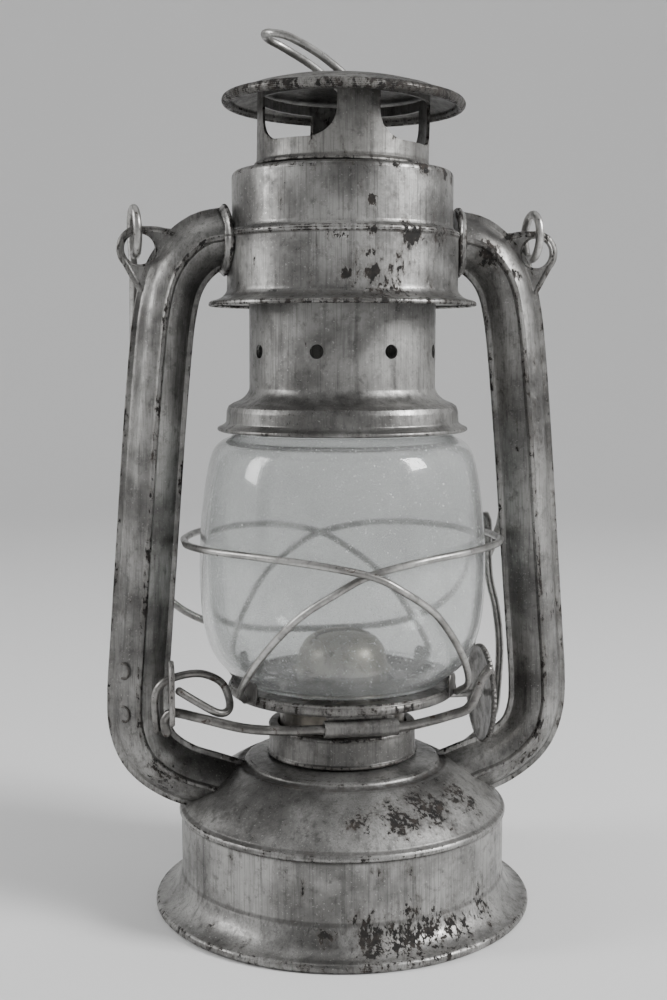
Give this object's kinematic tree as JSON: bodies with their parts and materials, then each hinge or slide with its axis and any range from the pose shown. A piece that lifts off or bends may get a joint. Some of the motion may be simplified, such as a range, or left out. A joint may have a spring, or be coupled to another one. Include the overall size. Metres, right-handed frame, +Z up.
{
  "type": "hurricane lantern",
  "caption": "Tubular barn lantern with a glass globe on a lifting plate, a sliding hood with a chimney, a flat-wick burner and a wire bail.",
  "frame": {"origin": "centre of the foot, on the ground", "axes": "+Z up, side tubes on the X axis, front towards -Y, wick wheel on +X"},
  "size_m": [0.1548, 0.124, 0.281],
  "materials": {
    "paint": "aged silver-grey, worn and rusted in patches",
    "worn_paint": "aged grey, heavily worn",
    "brass": "dull, tarnished",
    "wire": "dull plated wire",
    "glass": "clear, dusty",
    "cotton": "woven",
    "gasket": "matt"
  },
  "bodies": {
    "frame": {"tank_shell": "paint", "tank_lid": "worn_paint", "air_cover": "paint", "air_chamber": "paint", "side_tube_left": "paint", "side_tube_right": "paint", "tube_sleeve_left": "paint", "tube_sleeve_right": "paint", "bail_ear_left": "paint", "bail_ear_right": "paint", "filler_neck": "brass", "burner_collar": "brass", "burner_cup": "brass", "wick_tube": "brass", "burner_cone": "brass", "lift_guide_rod": "wire"},
    "globe_carriage": {"globe_plate": "paint", "plate_knuckle": "paint", "globe": "glass", "guard_wire_1": "wire", "guard_wire_2": "wire"},
    "hood": {"globe_neck": "paint", "chimney_tube": "worn_paint", "hood_crown": "paint", "hood_cap": "worn_paint", "hood_spring": "wire"},
    "lift_ring": {"lift_ring": "wire"},
    "bail": {"bail": "wire"},
    "lift_lever": {"lift_wire": "wire", "finger_loop": "wire", "thumb_plate": "worn_paint"},
    "wick_drive": {"wick_shaft": "wire", "wick_sprocket_1": "brass", "wick_sprocket_2": "brass", "wick_wheel": "worn_paint"},
    "wick": {"wick": "cotton"},
    "filler_cap": {"filler_cap": "brass", "filler_gasket": "gasket"}
  },
  "joints": [
    {"name": "carriage_lift", "type": "slide", "parent": "frame", "child": "globe_carriage", "axis": [0, 0, 1], "range_m": [0, 0.008]},
    {"name": "hood_lift", "type": "slide", "parent": "globe_carriage", "child": "hood", "axis": [0, 0, 1], "range_m": [0, 0.012], "deforming": ["hood_spring"]},
    {"name": "ring_fold", "type": "hinge", "parent": "hood", "child": "lift_ring", "pos_m": [0.0005, 0, 0.2653], "axis": [0, 1, 0], "range_deg": [-6, 80]},
    {"name": "bail_swing", "type": "hinge", "parent": "frame", "child": "bail", "pos_m": [-0.0014, 0, 0.21925], "axis": [1, 0, 0], "range_deg": [0, 300]},
    {"name": "lever_turn", "type": "hinge", "parent": "globe_carriage", "child": "lift_lever", "pos_m": [0, -0.034, 0.0664], "axis": [1, 0, 0], "range_deg": [0, 60]},
    {"name": "wick_turn", "type": "hinge", "parent": "frame", "child": "wick_drive", "pos_m": [0.02, -0.0059, 0.0686], "axis": [1, 0, 0], "range_deg": [-30, 150]},
    {"name": "wick_rise", "type": "slide", "parent": "frame", "child": "wick", "axis": [0, 0, 1], "range_m": [-0.0021, 0.0105]},
    {"name": "filler_turn", "type": "hinge", "parent": "frame", "child": "filler_cap", "pos_m": [0, 0.038, 0.055], "axis": [0, 0, 1], "range_deg": [0, 540]}
  ],
  "couplings": [
    {"joint": "lever_turn", "follows": "carriage_lift", "rad_per_m": 130},
    {"joint": "wick_rise", "follows": "wick_turn", "m_per_rad": 0.0038}
  ]
}
